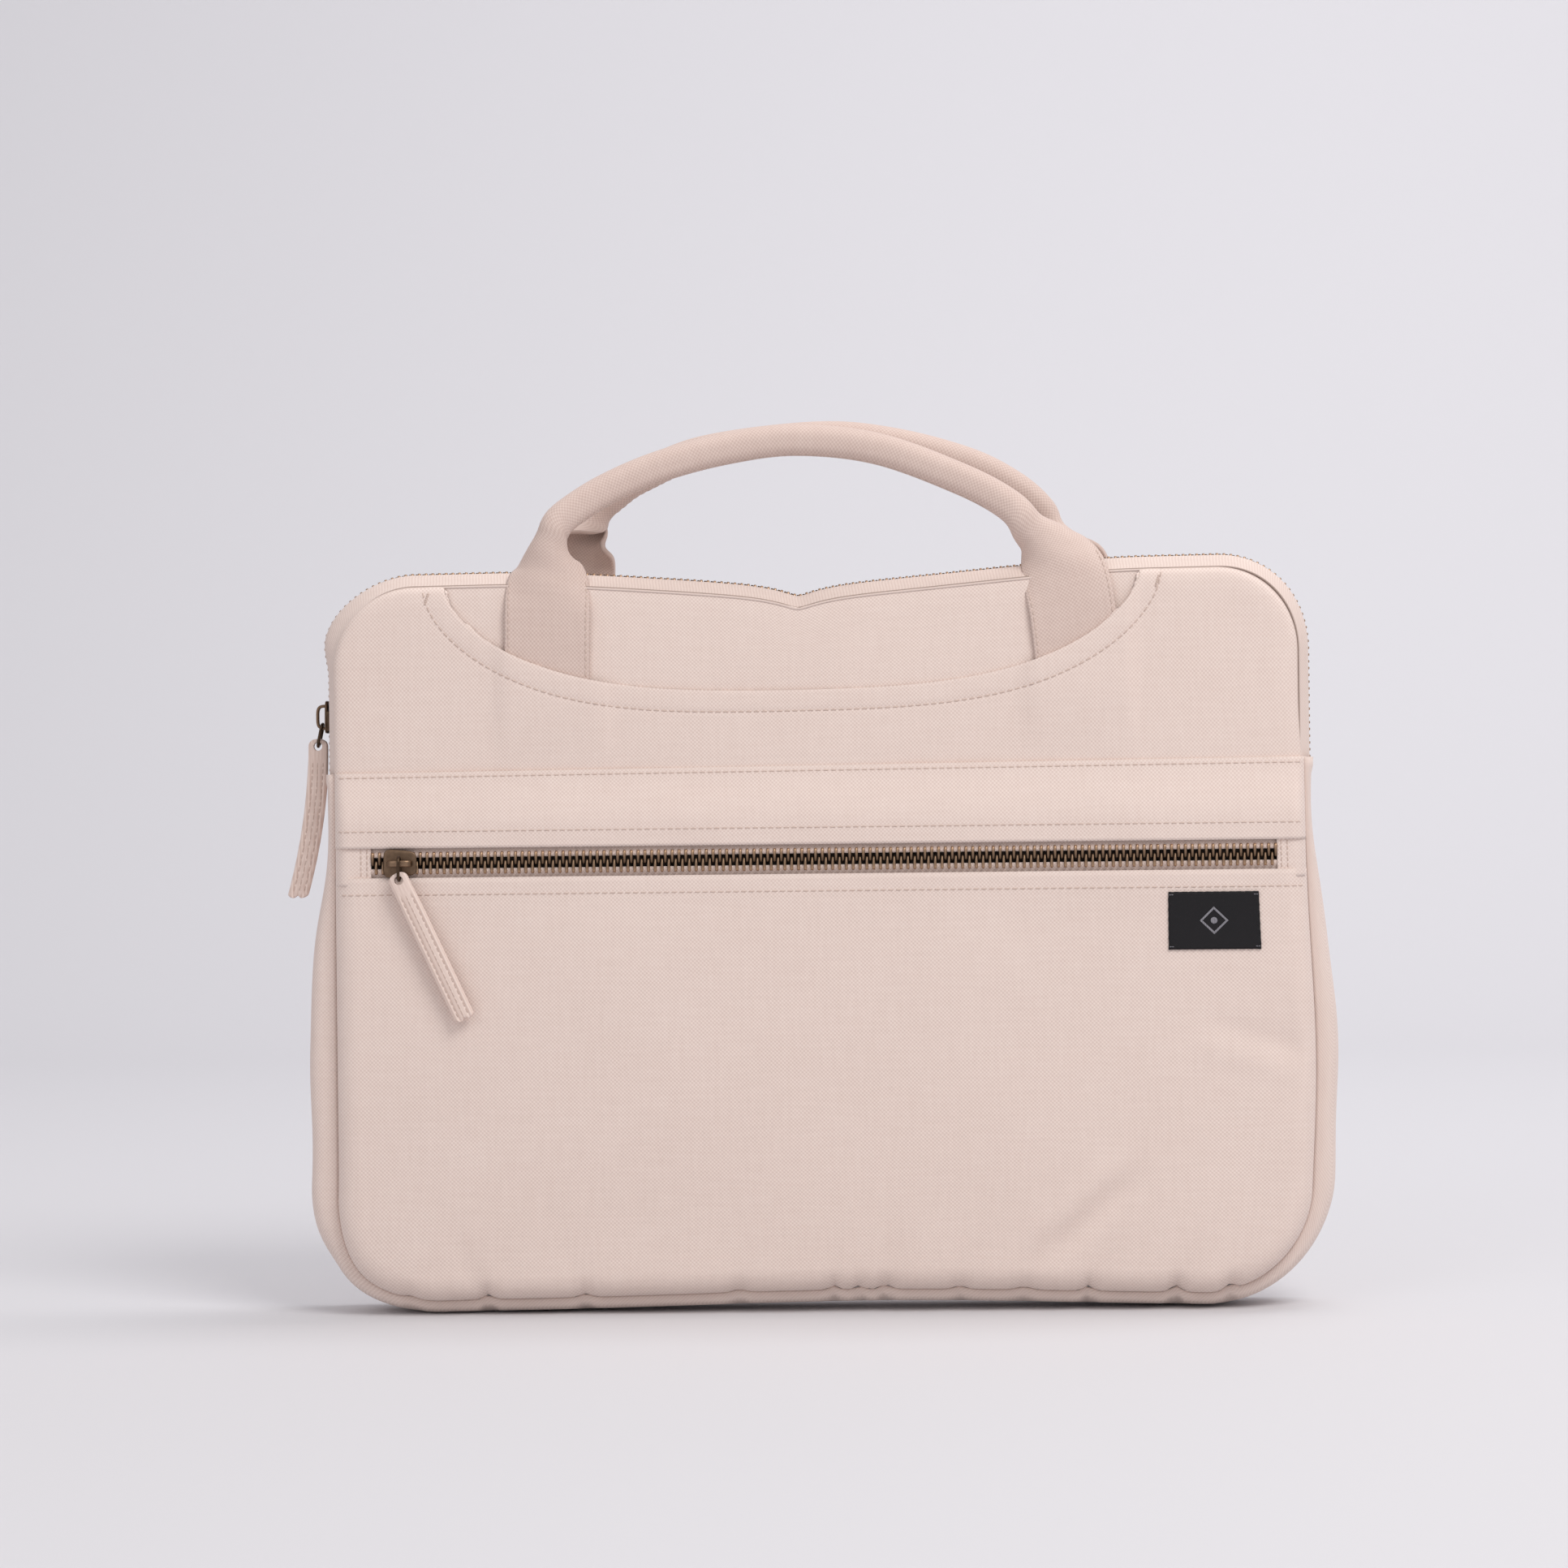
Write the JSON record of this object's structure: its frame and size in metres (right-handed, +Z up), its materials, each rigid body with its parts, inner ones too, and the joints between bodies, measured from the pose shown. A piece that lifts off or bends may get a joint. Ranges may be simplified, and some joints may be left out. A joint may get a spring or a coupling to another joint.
{
  "type": "laptop bag",
  "caption": "Padded canvas laptop sleeve with two rolled handles, a zip over the top, a zipped front pocket, a soft gusset and fabric zip pulls.",
  "frame": {"origin": "centre of the flat band of the gusset that the bag stands on", "axes": "+Z up, the front with the pocket faces -Y, +X to the right as the front is seen"},
  "size_m": [0.4083, 0.0601, 0.3466],
  "materials": {
    "canvas": "matt blush beige cotton canvas",
    "handle": "matt canvas webbing",
    "pull_tab": "matt stitched canvas strip",
    "zip_tape": "woven zip tape",
    "lining": "smooth woven lining",
    "binding": "woven binding tape",
    "foam": "closed-cell padding",
    "cord_core": "soft cotton cord",
    "label": "near-black woven satin",
    "brass": "antique brass, burnished on its edges"
  },
  "bodies": {
    "shell": {"back_panel": "canvas", "back_yoke": "canvas", "back_foam": "foam", "back_lining": "lining", "gusset_panel": "canvas", "gusset_foam": "foam", "gusset_lining": "lining", "back_binding": "binding", "front_binding_lower": "binding", "pocket_back_wall": "lining", "front_foam_lower": "foam", "front_lining_lower": "lining", "pocket_front_panel": "canvas", "pocket_band": "canvas", "pocket_end_tab_left": "canvas", "pocket_end_tab_right": "canvas", "pocket_zip_tape_upper": "zip_tape", "pocket_zip_tape_lower": "zip_tape", "pocket_zip_teeth_upper": "brass", "pocket_zip_teeth_lower": "brass", "woven_label": "label", "main_zip_tape_back": "zip_tape", "main_zip_teeth_back": "brass", "back_handle_tab_left": "handle", "back_handle_tab_right": "handle"},
    "front_flap": {"front_upper_panel": "canvas", "front_yoke": "canvas", "front_foam_upper": "foam", "front_lining_upper": "lining", "front_binding_upper": "binding", "main_zip_tape_front": "zip_tape", "main_zip_teeth_front": "brass", "front_handle_tab_left": "handle", "front_handle_tab_right": "handle"},
    "front_handle": {"front_handle_strap": "handle", "front_handle_core": "cord_core"},
    "back_handle": {"back_handle_strap": "handle", "back_handle_core": "cord_core"},
    "main_slider": {"main_slider_body": "brass", "main_slider_bridge": "brass"},
    "main_ring": {"main_pull_ring": "brass"},
    "main_tab": {"main_pull_tab": "pull_tab"},
    "pocket_slider": {"pocket_slider_body": "brass", "pocket_slider_bridge": "brass"},
    "pocket_ring": {"pocket_pull_ring": "brass"},
    "pocket_tab": {"pocket_pull_tab": "pull_tab"}
  },
  "joints": [
    {"name": "mouth_opening", "type": "hinge", "parent": "shell", "child": "front_flap", "pos_m": [0, -0.0207, 0.2125], "axis": [1, 0, 0], "range_deg": [0, 35]},
    {"name": "front_handle_fold", "type": "hinge", "parent": "front_flap", "child": "front_handle", "pos_m": [-0.0045, -0.0219, 0.276], "axis": [1, 0, 0], "range_deg": [0, 170]},
    {"name": "back_handle_fold", "type": "hinge", "parent": "shell", "child": "back_handle", "pos_m": [-0.0045, 0.0219, 0.276], "axis": [-1, 0, 0], "range_deg": [0, 170]},
    {"name": "main_slider_travel", "type": "slide", "parent": "shell", "child": "main_slider", "axis": [0, 0, 1], "range_m": [-0.012, 0.012]},
    {"name": "main_ring_swing", "type": "hinge", "parent": "main_slider", "child": "main_ring", "pos_m": [-0.19575, 0, 0.2317], "axis": [0, 1, 0], "range_deg": [0, 100]},
    {"name": "main_tab_swing", "type": "hinge", "parent": "main_ring", "child": "main_tab", "pos_m": [-0.19762, 0, 0.2229], "axis": [0, 1, 0], "range_deg": [0, 70]},
    {"name": "pocket_slider_travel", "type": "slide", "parent": "shell", "child": "pocket_slider", "axis": [1, 0, 0], "range_m": [0, 0.331]},
    {"name": "pocket_ring_swing", "type": "hinge", "parent": "pocket_slider", "child": "pocket_ring", "pos_m": [-0.1625, -0.0314, 0.1768], "axis": [-1, 0, 0], "range_deg": [0, 110]},
    {"name": "pocket_tab_swing", "type": "hinge", "parent": "pocket_ring", "child": "pocket_tab", "pos_m": [-0.1625, -0.0314, 0.1703], "axis": [0, 1, 0], "range_deg": [-60, 90]}
  ]
}
